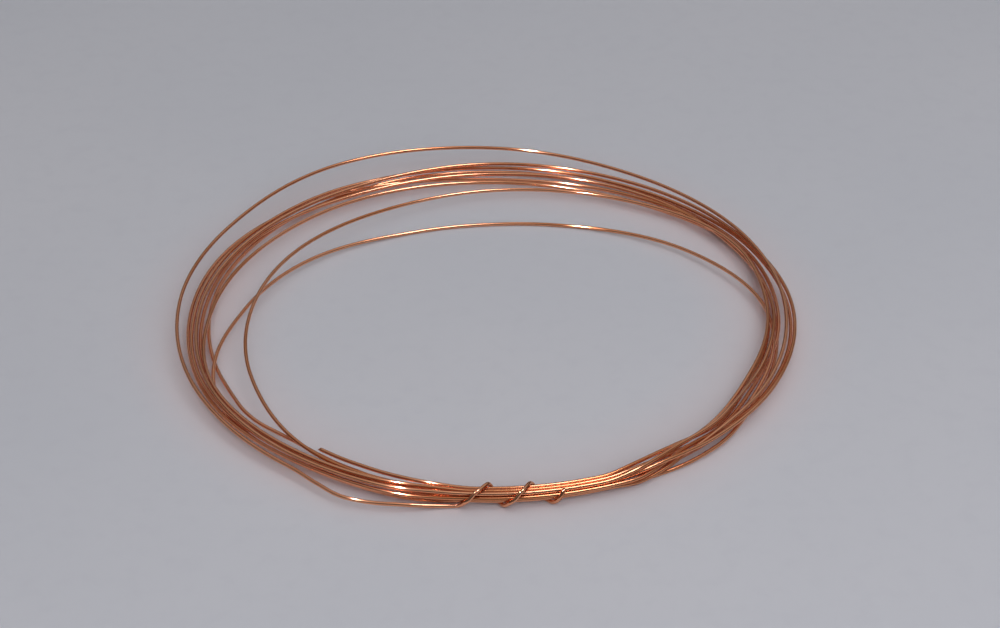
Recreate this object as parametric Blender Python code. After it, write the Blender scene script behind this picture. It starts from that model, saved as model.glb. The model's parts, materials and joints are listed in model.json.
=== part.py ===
"""A hand-wound hoop of bare copper wire, tied with its own outer end.

The object is one length of wire. It starts at a loose tip that lies along the inside of the bundle at the
front left, makes nine turns, and ends in wraps that bind the nine turns together at the front.

Frame: metres, +Z up. The table is z = 0, the origin is on the table under the middle of the coil's outline,
and the tie is at -Y. Angles are in degrees round +Z from +X, so the tie is at 270.
"""

import math

import bmesh
import bpy
import numpy as np

MM = 0.001

# Driving dimensions
WIRE_DIAMETER = 0.644 * MM  # 22 gauge
HOOP_RADIUS = 50.0 * MM  # mean radius of the bundle
PITCH = 1.13 * WIRE_DIAMETER  # centre distance of two passes side by side in the tied bundle
ROOM = 1.08 * PITCH  # centre distance of passes that cross or lie loosely, and of the wraps from the bundle
SIDES = 6  # the section is a hexagon with flats above and below
STATION_STEP = 30  # degrees between the stations of TURN_OFFSETS
HEIGHT_STEP = 90  # degrees between the stations of TURN_HEIGHTS
FINE_STEPS = 24  # steps per station when the passes are laid out
KEEP_EVERY = 4  # the sweep takes every fourth of them

# The hexagon has the area of the round wire, so the part has the right mass.
SECTION_RADIUS = WIRE_DIAMETER / 2 * math.sqrt(math.pi / (SIDES / 2 * math.sin(2 * math.pi / SIDES)))
REST_HEIGHT = SECTION_RADIUS * math.cos(math.pi / SIDES)  # centre height of a pass that lies on the table

# How far each turn runs outside the mean hoop, in millimetres, every 30 degrees.
FIRST_STATION = 240
TURN_OFFSETS = (
    # 240   270  300  330    0   30    60     90    120    150   180   210
    (-1.4, 1.2, 0.0, -2.2, -2.2, -1.0, -4.4, -5.1, -5.0, -4.9, -2.7, 1.4),
    (2.2, 2.9, 0.6, -1.2, -0.8, -0.1, -0.4, -0.6, -0.7, -2.0, -2.1, -1.6),
    (-0.7, 0.7, 2.4, 0.2, -1.2, -0.6, -1.4, -2.9, -3.6, -2.0, -1.2, 0.8),
    (1.0, 1.6, 1.7, 1.9, 1.8, 0.4, 0.3, 0.0, -1.9, -2.0, -0.6, 1.7),
    (2.6, 3.4, 0.4, -2.0, -1.9, -1.7, -2.6, -3.5, -1.2, 0.6, 1.1, 2.4),
    (3.0, 4.0, 1.4, 1.3, 1.2, 0.3, -0.6, -0.1, -0.5, -0.6, 0.2, 2.2),
    (1.8, 2.3, 0.2, -2.1, -2.4, -1.9, -5.6, -8.8, -11.7, -11.8, -9.8, -5.2),  # springs inwards on the left
    (0.4, 1.1, 1.0, -0.6, -2.6, -9.3, -15.5, -18.8, -18.1, -13.7, -7.7, 1.1),  # the small turn
    (2.5, 3.0, 1.2, 0.9, 0.4, 0.6, 2.0, 5.2, 6.3, 3.4, 3.1, 3.9),  # the large outer turn
)
TIP_ANGLE = 236.25  # where the wire begins, a little before the first station
TIP_OFFSET = -4.2  # where the first turn's line would be at 210, which sets the tip's slope
TAIL_OFFSETS = (4.6, 4.8)  # the outer turn goes on to the tie, at 240 and 270

# Short bends in the hand-wound wire: whole turns after the tip's, degrees, millimetres outwards, and half the
# length of the bend in degrees.
BENDS = (
    (0, 317, 1.4, 16),  # most passes close up at the front right
    (1, 316, 0.5, 14),
    (2, 218, 0.7, 10),
    (2, 231, -0.6, 10),
    (2, 315, 1.0, 14),  # this one stands off the others there
    (3, 318, -0.4, 12),
    (4, 316, 1.1, 16),
    (5, 311, -0.7, 16),
    (6, 318, 0.9, 16),
    (9, 247.5, 2.4, 11),  # the tail kinks before the tie
)
BEND_SOFTENING = 4

# Centre height of each turn at the right, the back and the left, in millimetres. At the front it is that of
# the turn's lane in the tied bundle.
TURN_HEIGHTS = (
    (1.7, 1.2, 2.6),
    (1.6, 0.9, 1.4),
    (1.0, 1.7, 2.0),
    (2.4, 2.2, 2.9),
    (2.1, 0.9, 1.9),
    (1.8, 1.5, 2.6),
    (2.4, 1.6, 3.6),
    (1.8, 0.0, 1.6),
    (3.2, 2.8, 3.2),
)
TIP_HEIGHT = 0.4  # where the first turn's line would be at the left
TAIL_HEIGHT = 0.7

# Where each turn lies in the tied bundle, in pitches: outwards, and rows up.
TIE_LANES = (
    (-1.0, 2),
    (0.0, 2),
    (0.0, 0),
    (0.5, 1),
    (1.0, 2),
    (1.5, 1),
    (-0.5, 1),
    (-1.0, 0),
    (1.0, 0),
)
ROW_RISE = math.sqrt(3) / 2
TIE_RADIUS = HOOP_RADIUS + 2.0 * MM  # the bundle's middle lane at the tie
TIE_FROM, TIE_TO = 265, 290  # the passes are parallel between these angles
TIE_EASE = 18  # degrees over which a pass leaves or joins its lane

# The tail's turns round the bundle. Its angle round the bundle is 0 outwards and 90 up.
WRAP_START, WRAP_END = -45, 770
WRAP_FROM, WRAP_TO = 265.7, 282.7  # where the tail meets the bundle and where it ends
WRAP_SLANTS = (0.43, 0.6, -0.35)  # degrees that the first, middle and last wrap run ahead at WRAP_LEANS_AT
WRAP_LEANS_AT = 123  # its angle round the bundle
WRAP_STEPS = 72
LEAD_FROM = 257  # where the tail starts to bend towards the tie
LEAD_STEPS = 8
LEAD_TURN_IN = 0.35  # how early it takes the wraps' direction

# The passes are pushed apart in rounds, each of which makes good most of the room that is missing.
SPREAD_ROUNDS = 600
SPREAD_SHARE = 0.9
SOFTEN_TIMES = 80  # how widely a push spreads along the wire
LANE_GRIP = 8  # a pass gives way to pushes only where it is well out of its lane
LEAST_DISTANCE = 0.01 * MM


def smooth_step(t):
    t = np.clip(t, 0.0, 1.0)
    return t * t * (3 - 2 * t)


def through(values, steps):
    """Points on a smooth curve through evenly spaced values, with so many steps between two values."""
    v = np.asarray(values, float)
    v = np.concatenate([[2 * v[0] - v[1]], v, [2 * v[-1] - v[-2]]])
    t = np.arange(steps) / steps
    before, start, end, after = v[:-3, None], v[1:-2, None], v[2:-1, None], v[3:, None]
    bend = (2 * before - 5 * start + 4 * end - after) * t**2 + (3 * (start - end) + after - before) * t**3
    curve = start + (end - before) / 2 * t + bend / 2
    return np.append(curve.ravel(), v[-2])


def lane_points():
    """Each turn's place in the tied bundle: distance from the middle lane, and height."""
    lowest = SECTION_RADIUS + ROOM  # a wrap passes underneath
    return np.array([(PITCH * out, lowest + PITCH * ROW_RISE * row) for out, row in TIE_LANES])


def hoop_path():
    """Angle, radius and height of the nine turns and the tail up to the tie, as the wire would lie freely."""
    offsets = [TIP_OFFSET] + [value for turn in TURN_OFFSETS for value in turn] + list(TAIL_OFFSETS)
    radius = HOOP_RADIUS + MM * through(offsets, FINE_STEPS)
    angle = FIRST_STATION + STATION_STEP * (np.arange(len(radius)) / FINE_STEPS - 1)
    for turns, at, out, width in BENDS:
        bend = np.clip(1 - np.abs(angle - 360 * turns - at) / width, 0, None)
        radius += out * MM * softened(bend[:, None], BEND_SOFTENING)[:, 0]
    heights = [TIP_HEIGHT]
    for lane, (right, back, left) in zip(lane_points(), TURN_HEIGHTS):
        heights += [lane[1] / MM, right, back, left]
    heights += [TAIL_HEIGHT]
    # The heights begin at the left, one station before the radii.
    height = MM * through(heights, HEIGHT_STEP // STATION_STEP * FINE_STEPS)[FINE_STEPS:]
    begun = angle >= TIP_ANGLE
    return angle[begun], radius[begun], height[begun]


def lane_path(angle):
    """Section of the tied bundle's lane for each point, and how firmly the point is held in it."""
    turn = ((angle - FIRST_STATION) // 360).astype(int)
    lane = lane_points()[np.clip(turn, 0, len(TIE_LANES) - 1)] + (TIE_RADIUS, 0)
    from_front = (angle - 270 + 180) % 360 - 180
    outside = np.maximum(TIE_FROM - 270 - from_front, from_front - (TIE_TO - 270))
    hold = smooth_step(1 - outside / TIE_EASE)
    hold[turn >= len(TIE_LANES)] = 0.0
    return lane, hold[:, None]


def softened(moves, times):
    """Each move averaged with its neighbours', as a stiff wire spreads a push along its length."""
    for _ in range(times):
        padded = np.concatenate([moves[:1], moves, moves[-1:]])
        moves = (padded[:-2] + 2 * padded[1:-1] + padded[2:]) / 4
    return moves


def spread_apart(section, hold):
    """Pushes the passes at each angle apart until they have room, and keeps them above the table."""
    per_turn = 360 // STATION_STEP * FINE_STEPS
    free = 1 - hold**LANE_GRIP
    for _ in range(SPREAD_ROUNDS):
        push = np.zeros_like(section)
        for lag in range(per_turn, len(section), per_turn):
            apart = section[lag:] - section[:-lag]
            distance = np.linalg.norm(apart, axis=1)[:, None]
            missing = np.clip(ROOM - distance, 0.0, None) / np.maximum(distance, LEAST_DISTANCE)
            push[lag:] += apart * missing
            push[:-lag] -= apart * missing
        section = section + SPREAD_SHARE * softened(push * free, SOFTEN_TIMES) * free
        section[:, 1] = np.maximum(section[:, 1], REST_HEIGHT)
    return section


def to_points(angle, section):
    a = np.radians(angle)
    radius, height = section[:, 0], section[:, 1]
    return np.stack([radius * np.cos(a), radius * np.sin(a), height], axis=1)


def hull_of(points):
    """Corners of the convex outline round 2D points, anticlockwise."""
    points = sorted(map(tuple, points))
    hull = []
    for run in (points, points[::-1]):
        start = len(hull)
        for p in run:
            while len(hull) > start + 1:
                (ax, ay), (bx, by) = hull[-2], hull[-1]
                if (bx - ax) * (p[1] - ay) - (by - ay) * (p[0] - ax) > 0:
                    break
                hull.pop()
            hull.append(p)
        hull.pop()
    return np.array(hull)


def wrap_path():
    """The tail wound round the tied bundle, always at the same distance outside the outline of its lanes."""
    turned = np.radians(np.arange(WRAP_START, WRAP_END + 1))
    facing = np.stack([np.cos(turned), np.sin(turned)], axis=1)
    corners = hull_of(lane_points())
    section = corners[np.argmax(facing @ corners.T, axis=1)] + ROOM * facing + (TIE_RADIUS, 0)
    length = np.append(0, np.cumsum(np.linalg.norm(np.diff(section, axis=0), axis=1)))
    evenly = np.linspace(0, length[-1], WRAP_STEPS + 1)
    outwards, up, turned = (np.interp(evenly, length, values) for values in (*section.T, turned))
    angle = WRAP_FROM + (WRAP_TO - WRAP_FROM) * evenly / length[-1]
    slant = np.interp(evenly / length[-1], (0.0, 0.5, 1.0), WRAP_SLANTS)
    angle += slant * np.cos(turned - math.radians(WRAP_LEANS_AT))
    return to_points(angle, np.stack([outwards, up], axis=1))


def bridge(start, start_move, end, end_move, steps):
    """Points between start and end on a cubic that leaves and arrives with the given moves."""
    t = np.linspace(0, 1, steps + 1)[1:-1, None]
    rest = 1 - t
    return (
        start * (1 + 2 * t) * rest**2
        + end * (3 - 2 * t) * t**2
        + start_move * t * rest**2
        - end_move * rest * t**2
    )


def centred(points):
    """The points moved sideways until their outline is centred on the origin."""
    middle = (points.max(axis=0) + points.min(axis=0)) / 2
    return points - (middle[0], middle[1], 0)


def wire_path():
    """The whole centreline, from the loose tip to the end of the last wrap."""
    angle, radius, height = hoop_path()
    lane, hold = lane_path(angle)
    section = np.stack([radius, height], axis=1)
    section = spread_apart(section + (lane - section) * hold, hold)
    hoop = to_points(angle, section)[::KEEP_EVERY]
    hoop = hoop[angle[::KEEP_EVERY] < 360 * len(TIE_LANES) + LEAD_FROM]
    wrap = wrap_path()
    reach = np.linalg.norm(wrap[0] - hoop[-1])
    leaving = hoop[-1] - hoop[-2]
    arriving = wrap[1] - wrap[0]
    leaving *= reach / np.linalg.norm(leaving)
    arriving *= LEAD_TURN_IN * reach / np.linalg.norm(arriving)
    lead = bridge(hoop[-1], leaving, wrap[0], arriving, LEAD_STEPS)
    return centred(np.concatenate([hoop, lead, wrap]))


def frames(path):
    """The wire's direction and its up side: straight up along the hoop, and carried along in the wraps."""
    along = np.gradient(path, axis=0)
    along /= np.linalg.norm(along, axis=1)[:, None]
    up = np.tile((0.0, 0.0, 1.0), (len(path), 1))
    for i, direction in enumerate(along):
        if i >= len(path) - WRAP_STEPS:
            up[i] = up[i - 1]
        up[i] -= direction * (direction @ up[i])
        up[i] /= np.linalg.norm(up[i])
    return along, up


def sweep(name, path, material):
    """A closed hexagonal tube along the path, with flat ends."""
    along, up = frames(path)
    across = np.cross(along, up)
    mesh = bmesh.new()
    rings = []
    for i, centre in enumerate(path):
        corners = [2 * math.pi * k / SIDES for k in range(SIDES)]
        ring = [centre + SECTION_RADIUS * (math.cos(a) * across[i] + math.sin(a) * up[i]) for a in corners]
        rings.append([mesh.verts.new(corner) for corner in ring])
    for ring, following in zip(rings, rings[1:]):
        for k in range(SIDES):
            after = (k + 1) % SIDES
            mesh.faces.new((ring[k], ring[after], following[after], following[k]))
    mesh.faces.new(rings[0][::-1])
    mesh.faces.new(rings[-1])
    bmesh.ops.recalc_face_normals(mesh, faces=mesh.faces[:])
    data = bpy.data.meshes.new(name)
    mesh.to_mesh(data)
    mesh.free()
    data.materials.append(material)
    made = bpy.data.objects.new(name, data)
    bpy.context.scene.collection.objects.link(made)
    return made


def copper():
    material = bpy.data.materials.new("bare_copper")
    material.use_nodes = True
    shader = material.node_tree.nodes["Principled BSDF"]
    shader.inputs["Base Color"].default_value = (0.78, 0.34, 0.17, 1.0)
    shader.inputs["Metallic"].default_value = 1.0
    shader.inputs["Roughness"].default_value = 0.22
    return material


def main():
    for old in list(bpy.data.objects):
        bpy.data.objects.remove(old)
    sweep("copper_wire", wire_path(), copper())


main()
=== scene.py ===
"""Looks for the coil of bare copper wire: the round wire with nipped ends, its metal, the table and light.

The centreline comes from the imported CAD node, a chain of six-sided rings from the loose tip to the tie's end.
"""

import json
import math

import bmesh
import bpy
import numpy as np
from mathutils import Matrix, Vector


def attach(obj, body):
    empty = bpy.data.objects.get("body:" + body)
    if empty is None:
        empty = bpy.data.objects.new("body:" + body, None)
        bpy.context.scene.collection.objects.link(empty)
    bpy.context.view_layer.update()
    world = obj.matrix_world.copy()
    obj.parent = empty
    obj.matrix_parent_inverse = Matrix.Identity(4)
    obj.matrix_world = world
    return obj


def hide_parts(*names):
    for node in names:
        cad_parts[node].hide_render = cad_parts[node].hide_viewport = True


MM = 0.001

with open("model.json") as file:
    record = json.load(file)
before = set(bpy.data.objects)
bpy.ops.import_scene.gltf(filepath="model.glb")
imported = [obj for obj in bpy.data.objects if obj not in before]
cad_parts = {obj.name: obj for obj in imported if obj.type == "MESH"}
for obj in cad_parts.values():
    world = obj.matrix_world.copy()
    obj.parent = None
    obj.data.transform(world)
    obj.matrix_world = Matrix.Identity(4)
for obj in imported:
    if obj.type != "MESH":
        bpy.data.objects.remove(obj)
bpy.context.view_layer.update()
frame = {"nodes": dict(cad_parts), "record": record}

# The wire. Sides and step keep its mesh under 200,000 triangles, so that its STL isn't thinned out.
WIRE_RADIUS = 0.322 * MM
SIDES = 12
STEP = 0.35 * MM  # length between rings
RING_CORNERS = 6  # corners of each ring of the CAD node
WELD_GAP = 0.001 * MM  # corners of the CAD mesh closer than this are one corner
CURVE_POINTS = 24  # points of the smooth curve between two rings of the CAD node
NIP_LENGTH = 0.42 * MM  # the side cutters leave a chisel edge this long
NIP_EDGE = 0.10  # thickness left at the edge, as a share of the wire's
EASE_PASSES = 2  # smooths the corners of the wraps
EASE_WITHIN = 0.9 * MM  # only where the points on both sides of a ring are closer together than this

# The copper: colours of the metal, then how each noise is stretched, along the wire and across it both ways
CLEAN_COPPER = (0.92, 0.43, 0.24, 1)
TARNISHED_COPPER = (0.70, 0.265, 0.11, 1)
HANDLED_COPPER = (0.56, 0.19, 0.07, 1)
OXIDE = (0.20, 0.07, 0.03, 1)
PATCH_STRETCH = (0.035, 0.5, 0.5)
DRAW_LINE_STRETCH = (0.12, 7.0, 7.0)
SPECK_STRETCH = (2.2, 1.6, 1.6)
HANDLED_STRETCH = (0.4, 1.2, 1.2)
HANDLED_SHARE = 0.15  # how far handling darkens the metal
OXIDE_SHARE = 0.5
POLISHED_ROUGHNESS = 0.10
SCRATCHED_ROUGHNESS = 0.13
TARNISH_ROUGHNESS = 0.05  # added where the metal is tarnished
DRAWN_SHEEN = 0.85  # anisotropy of the drawn surface
DRAWN_TURN = 0.25  # a quarter turn keeps the highlights short along the wire
DRAW_LINE_DEPTH = 0.02 * MM
DRAW_LINE_STRENGTH = 0.03

# The sheet under the coil
FLOOR_SIZE = 3.0
SHEET_COOL = (0.65, 0.667, 0.72, 1)
SHEET_WARM = (0.755, 0.745, 0.78, 1)
SHEET_GRAIN = (0.65, 0.65, 0.70, 1)
PAINTED_GLOW_COLOUR = (0.76, 0.68, 0.70, 1)
CLOUD_SCALE = 9.0
GRAIN_SCALE = 260.0
GRAIN_SHARE = 0.25
GRAIN_DEPTH = 0.1 * MM
GRAIN_STRENGTH = 0.05
SHEET_ROUGHNESS = 0.55
SHEET_SHINE = 0.25
PAINTED_GLOW_RADIUS = 49 * MM  # painted glow: the warm light the copper throws on the sheet is painted into the sheet's colour around this circle
PAINTED_GLOW_REACH = 16 * MM
PAINTED_GLOW_SHARE = 0.6  # at the circle itself

# The room: a soft glow overhead, leaning a little to the back, that fades to a dim level all round
OVERHEAD = (0.1, 0.2, 0.97)
OVERHEAD_FROM = 0.3  # the glow starts at this dot product with OVERHEAD
OVERHEAD_FULL = 1.0  # and is brightest at this one
ROOM_DIM = 0.08
ROOM_BRIGHT = 0.49
ROOM_COLOUR = (0.98, 0.98, 1.0, 1)
SOFTBOX_COLOUR = (0.90, 0.88, 1.0)
CATCH_COLOUR = (0.94, 0.88, 1.0)
FILL_COLOUR = (0.95, 0.96, 1.0)

# The camera: a 90 mm lens on a 36 mm wide sensor, seen from the tie's side
LENS = 90.0
SENSOR_WIDTH = 36
ELEVATION = math.radians(33)
DISTANCE = 429 * MM
AIM = Vector((2.38, -0.25, 0.79)) * MM
NEAR, FAR = 0.01, 10


def weld_rings(node, tip):
    """Centres of the CAD tube's rings, in order from the end nearest to tip."""
    mesh = bmesh.new()
    mesh.from_mesh(node.data)
    bmesh.ops.remove_doubles(mesh, verts=mesh.verts[:], dist=WELD_GAP)
    ring = set(sorted(mesh.verts, key=lambda v: (v.co - tip).length)[:RING_CORNERS])
    seen = set(ring)
    centres = []
    while ring:
        if len(ring) == RING_CORNERS:
            centres.append(np.mean(sorted(v.co[:] for v in ring), axis=0))
        ring = {edge.other_vert(v) for v in ring for edge in v.link_edges} - seen
        seen |= ring
    mesh.free()
    return np.array(centres)


def lengths_along(points):
    """The length of the line through the points, from its start to each of them."""
    return np.append(0.0, np.cumsum(np.linalg.norm(np.diff(points, axis=0), axis=1)))


def eased(points, passes):
    """Each point moved towards the middle of its neighbours where the points are close together."""
    for _ in range(passes):
        near = np.linalg.norm(points[2:] - points[:-2], axis=1)[:, None] < EASE_WITHIN
        middle = (points[:-2] + 2 * points[1:-1] + points[2:]) / 4
        points = np.concatenate([points[:1], np.where(near, middle, points[1:-1]), points[-1:]])
    return points


def smooth_curve(points):
    """Evenly spaced points on a smooth curve through the given ones."""
    chord = np.linalg.norm(np.diff(points, axis=0), axis=1)[:, None]
    slope = np.diff(points, axis=0) / chord
    inner = (slope[:-1] * chord[1:] + slope[1:] * chord[:-1]) / (chord[:-1] + chord[1:])
    tangent = np.concatenate([slope[:1], inner, slope[-1:]])
    pieces = []
    for i in range(len(chord)):
        t = np.arange(0, 1, 1 / CURVE_POINTS)[:, None]
        rest = 1 - t
        pieces.append(
            points[i] * (1 + 2 * t) * rest**2
            + points[i + 1] * (3 - 2 * t) * t**2
            + (tangent[i] * t * rest**2 - tangent[i + 1] * rest * t**2) * chord[i]
        )
    dense = np.concatenate(pieces + [points[-1:]])
    along = lengths_along(dense)
    count = int(along[-1] / STEP)
    even = np.linspace(0, along[-1], count + 1)
    return np.stack([np.interp(even, along, dense[:, k]) for k in range(3)], axis=1)


def carried_frames(path):
    """The wire's direction and two square directions at each point, carried along with no twist."""
    along = np.gradient(path, axis=0)
    along /= np.linalg.norm(along, axis=1)[:, None]
    up = np.zeros_like(path)
    up[0] = (0, 0, 1)
    for i in range(len(path)):
        if i:
            up[i] = up[i - 1]
        up[i] -= along[i] * (along[i] @ up[i])
        up[i] /= np.linalg.norm(up[i])
    return along, up, np.cross(along, up)


def point_vectors(mesh, name, vectors):
    """One vector for each point of the mesh, which the material reads by name."""
    mesh.attributes.new(name, "FLOAT_VECTOR", "POINT").data.foreach_set("vector", vectors.ravel())


def wire_mesh(name, path):
    """The round wire as a closed mesh, with a chisel edge at each end.

    wire_place holds the length along the wire in mm and the place round it; wire_along holds its direction.
    """
    along, up, across = carried_frames(path)
    place = lengths_along(path)
    from_end = np.minimum(place, place[-1] - place)
    flat = np.clip(from_end / NIP_LENGTH, 0, 1)
    flat = NIP_EDGE + (1 - NIP_EDGE) * np.sin(flat * math.pi / 2)
    turn = np.linspace(0, 2 * math.pi, SIDES, endpoint=False)
    ring = np.stack([np.cos(turn), np.sin(turn)], axis=1)
    points = (
        path[:, None]
        + WIRE_RADIUS * ring[None, :, :1] * across[:, None]
        + WIRE_RADIUS * ring[None, :, 1:] * (flat[:, None] * up)[:, None]
    )
    count = len(path)
    index = np.arange(count * SIDES).reshape(count, SIDES)
    after = np.roll(index, -1, axis=1)
    quads = np.stack([index[:-1], index[1:], after[1:], after[:-1]], axis=2).reshape(-1, 4)
    faces = [tuple(map(int, quad)) for quad in quads]
    faces.append(tuple(map(int, index[0])))
    faces.append(tuple(map(int, index[-1][::-1])))
    mesh = bpy.data.meshes.new(name)
    mesh.from_pydata(points.reshape(-1, 3).tolist(), [], faces)
    mesh.update()
    mesh.shade_smooth()
    where = np.empty((count, SIDES, 3), np.float32)
    where[:, :, 0] = (place / MM)[:, None]
    where[:, :, 1:] = ring
    point_vectors(mesh, "wire_place", where)
    point_vectors(mesh, "wire_along", np.repeat(along.astype(np.float32), SIDES, axis=0))
    wire = bpy.data.objects.new(name, mesh)
    bpy.context.scene.collection.objects.link(wire)
    return wire


class Nodes:
    """A short way to add and link shader nodes."""

    def __init__(self, material):
        material.use_nodes = True
        self.tree = material.node_tree
        self.shader = self.tree.nodes["Principled BSDF"]

    def add(self, kind, inputs=None, **settings):
        node = self.tree.nodes.new(kind)
        for key, value in settings.items():
            setattr(node, key, value)
        for key, value in (inputs or {}).items():
            self.put(value, node.inputs[key])
        return node

    def put(self, value, socket):
        if isinstance(value, bpy.types.NodeSocket):
            self.tree.links.new(value, socket)
        else:
            socket.default_value = value

    def attribute(self, name):
        return self.add("ShaderNodeAttribute", attribute_name=name).outputs["Vector"]

    def stretched(self, source, scale):
        return self.add("ShaderNodeVectorMath", {0: source, 1: scale}, operation="MULTIPLY").outputs[0]

    def noise(self, vector, detail, scale=1.0, roughness=0.5):
        inputs = {"Vector": vector, "Scale": scale, "Detail": detail, "Roughness": roughness}
        return self.add("ShaderNodeTexNoise", inputs).outputs["Fac"]

    def ramp(self, value, low, high, start=0.0, end=1.0):
        node = self.add("ShaderNodeMapRange", {"Value": value, 1: low, 2: high, 3: start, 4: end})
        node.interpolation_type = "SMOOTHSTEP"
        return node.outputs[0]

    def mix(self, share, first, second):
        node = self.add("ShaderNodeMix", data_type="RGBA")
        self.put(share, node.inputs[0])
        self.put(first, node.inputs[6])
        self.put(second, node.inputs[7])
        return node.outputs[2]

    def math(self, kind, first, second):
        return self.add("ShaderNodeMath", {0: first, 1: second}, operation=kind).outputs[0]

    def bump(self, height, strength, depth):
        node = self.add("ShaderNodeBump", {"Height": height, "Strength": strength, "Distance": depth})
        self.put(node.outputs[0], self.shader.inputs["Normal"])


def copper_material():
    """Bright drawn copper with brown tarnish in patches, draw lines along the wire and a few oxide specks."""
    material = bpy.data.materials.new("bare_copper")
    n = Nodes(material)
    place = n.attribute("wire_place")
    patches = n.noise(n.stretched(place, PATCH_STRETCH), detail=4.0, roughness=0.6)
    lines = n.noise(n.stretched(place, DRAW_LINE_STRETCH), detail=3.0, roughness=0.6)
    tarnish = n.ramp(patches, low=0.42, high=0.68)
    specks = n.ramp(n.noise(n.stretched(place, SPECK_STRETCH), detail=2.0), low=0.70, high=0.76)
    handled = n.ramp(n.noise(n.stretched(place, HANDLED_STRETCH), detail=3.0), low=0.45, high=0.7)
    metal = n.mix(tarnish, CLEAN_COPPER, TARNISHED_COPPER)
    metal = n.mix(n.math("MULTIPLY", handled, HANDLED_SHARE), metal, HANDLED_COPPER)
    metal = n.mix(n.math("MULTIPLY", specks, OXIDE_SHARE), metal, OXIDE)
    drawn = n.ramp(lines, low=0.3, high=0.7, start=POLISHED_ROUGHNESS, end=SCRATCHED_ROUGHNESS)
    rough = n.math("ADD", drawn, n.math("MULTIPLY", tarnish, TARNISH_ROUGHNESS))
    n.put(metal, n.shader.inputs["Base Color"])
    n.put(rough, n.shader.inputs["Roughness"])
    n.put(1.0, n.shader.inputs["Metallic"])
    n.put(DRAWN_SHEEN, n.shader.inputs["Anisotropic"])
    n.put(DRAWN_TURN, n.shader.inputs["Anisotropic Rotation"])
    n.put(n.attribute("wire_along"), n.shader.inputs["Tangent"])
    n.bump(lines, DRAW_LINE_STRENGTH, DRAW_LINE_DEPTH)
    return material


def floor_material():
    """A smooth pale cool grey sheet, very slightly mottled, with the copper's warm reflected light painted on
    as a glow round the hoop.
    """
    material = bpy.data.materials.new("pale_sheet")
    n = Nodes(material)
    place = n.add("ShaderNodeNewGeometry").outputs["Position"]
    cloud = n.noise(place, scale=CLOUD_SCALE, detail=3.0)
    grain = n.noise(place, scale=GRAIN_SCALE, detail=4.0)
    tone = n.mix(cloud, SHEET_COOL, SHEET_WARM)
    grainy = n.math("MULTIPLY", n.ramp(grain, low=0.45, high=0.75), GRAIN_SHARE)
    tone = n.mix(grainy, tone, SHEET_GRAIN)
    flat = n.stretched(place, (1, 1, 0))
    radius = n.add("ShaderNodeVectorMath", {0: flat}, operation="LENGTH").outputs["Value"]
    # painted glow: the copper's warm reflected light, painted into the sheet's colour near the hoop
    from_hoop = n.math("ABSOLUTE", n.math("SUBTRACT", radius, PAINTED_GLOW_RADIUS), 0.0)
    painted_glow = n.ramp(from_hoop, low=0.0, high=PAINTED_GLOW_REACH, start=PAINTED_GLOW_SHARE, end=0.0)
    n.put(n.mix(painted_glow, tone, PAINTED_GLOW_COLOUR), n.shader.inputs["Base Color"])
    n.put(SHEET_ROUGHNESS, n.shader.inputs["Roughness"])
    n.put(SHEET_SHINE, n.shader.inputs["Specular IOR Level"])
    n.bump(grain, GRAIN_STRENGTH, GRAIN_DEPTH)
    return material


def make_floor():
    mesh = bpy.data.meshes.new("floor")
    half = FLOOR_SIZE / 2
    corners = [(-half, -half, 0), (half, -half, 0), (half, half, 0), (-half, half, 0)]
    mesh.from_pydata(corners, [], [(0, 1, 2, 3)])
    floor = bpy.data.objects.new("floor", mesh)
    floor.data.materials.append(floor_material())
    bpy.context.scene.collection.objects.link(floor)


def area_light(name, direction, distance, size, power, colour=(1, 1, 1)):
    """A flat light that looks at the coil from the given direction."""
    data = bpy.data.lights.new(name, "AREA")
    data.shape = "RECTANGLE"
    data.size, data.size_y = size
    data.energy = power
    data.color = colour
    light = bpy.data.objects.new(name, data)
    towards = Vector(direction).normalized()
    light.location = towards * distance
    light.rotation_mode = "QUATERNION"
    light.rotation_quaternion = (-towards).to_track_quat("-Z", "Y")
    bpy.context.scene.collection.objects.link(light)
    return light


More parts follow.
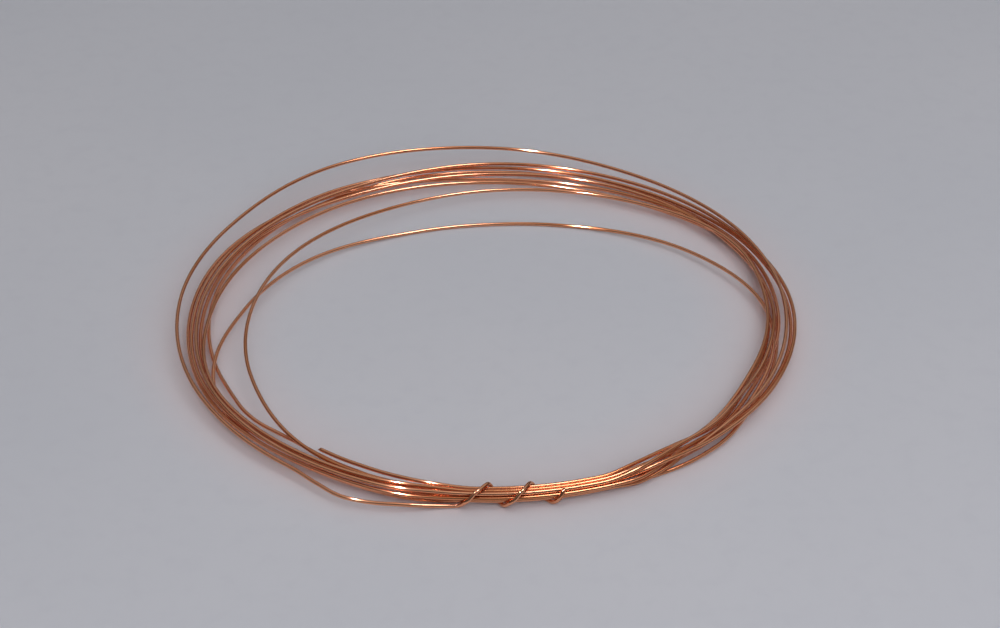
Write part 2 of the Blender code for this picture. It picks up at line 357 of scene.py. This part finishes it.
def make_lights():
    """A softbox and a catch light that shiny surfaces mirror, a dim rim round the softbox, and a fill.

    The first two aren't seen by matt surfaces, and the metal doesn't mirror the fill.
    """
    over, left, front = (0.27, -0.05, 0.97), (-0.30, -0.28, 0.91), (0.35, -0.82, 0.66)
    softbox = area_light("softbox", over, distance=1.0, size=(0.30, 0.36), power=3.3, colour=SOFTBOX_COLOUR)
    softbox.visible_diffuse = False
    area_light("softbox_rim", over, distance=1.01, size=(0.46, 0.60), power=0.6)
    catch = area_light("catch_light", left, distance=1.4, size=(0.065, 0.065), power=17, colour=CATCH_COLOUR)
    catch.visible_diffuse = False
    fill = area_light("fill", front, distance=0.75, size=(0.8, 0.6), power=2.7, colour=FILL_COLOUR)
    fill.visible_glossy = False


def make_room():
    """A world that is brightest overhead, which the metal mirrors and the sheet is lit by."""
    world = bpy.data.worlds.new("room")
    world.use_nodes = True
    tree = world.node_tree
    place = tree.nodes.new("ShaderNodeTexCoord")
    towards = tree.nodes.new("ShaderNodeVectorMath")
    towards.operation = "DOT_PRODUCT"
    tree.links.new(place.outputs["Generated"], towards.inputs[0])
    towards.inputs[1].default_value = OVERHEAD
    overhead = tree.nodes.new("ShaderNodeMapRange")
    overhead.interpolation_type = "SMOOTHSTEP"
    tree.links.new(towards.outputs["Value"], overhead.inputs["Value"])
    for number, value in enumerate((OVERHEAD_FROM, OVERHEAD_FULL, ROOM_DIM, ROOM_BRIGHT), start=1):
        overhead.inputs[number].default_value = value
    background = tree.nodes["Background"]
    background.inputs["Color"].default_value = ROOM_COLOUR
    tree.links.new(overhead.outputs[0], background.inputs["Strength"])
    bpy.context.scene.world = world


def make_camera():
    data = bpy.data.cameras.new("camera")
    data.lens = LENS
    data.sensor_width = SENSOR_WIDTH
    data.clip_start, data.clip_end = NEAR, FAR
    camera = bpy.data.objects.new("camera", data)
    back = Vector((0, -math.cos(ELEVATION), math.sin(ELEVATION)))
    camera.location = AIM + back * DISTANCE
    camera.rotation_mode = "QUATERNION"
    camera.rotation_quaternion = (-back).to_track_quat("-Z", "Y")
    bpy.context.scene.collection.objects.link(camera)
    bpy.context.scene.camera = camera


def mount_place(name):
    """Where the record puts one of the part's mounts."""
    mounts = {mount["name"]: mount for mount in frame["record"]["mounts"]}
    return Vector(mounts[name]["pos_m"])


def make_wire():
    """The round wire, which is shown instead of the plain CAD solid."""
    centres = weld_rings(frame["nodes"]["copper_wire"], mount_place("loose_tip_face"))
    path = smooth_curve(eased(centres, EASE_PASSES))
    wire = wire_mesh("round_wire", path)
    wire.data.materials.append(copper_material())
    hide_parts("copper_wire")
    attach(wire, "root")


make_floor()
make_wire()
make_lights()
make_room()
make_camera()
bpy.context.scene.view_settings.view_transform = "Standard"
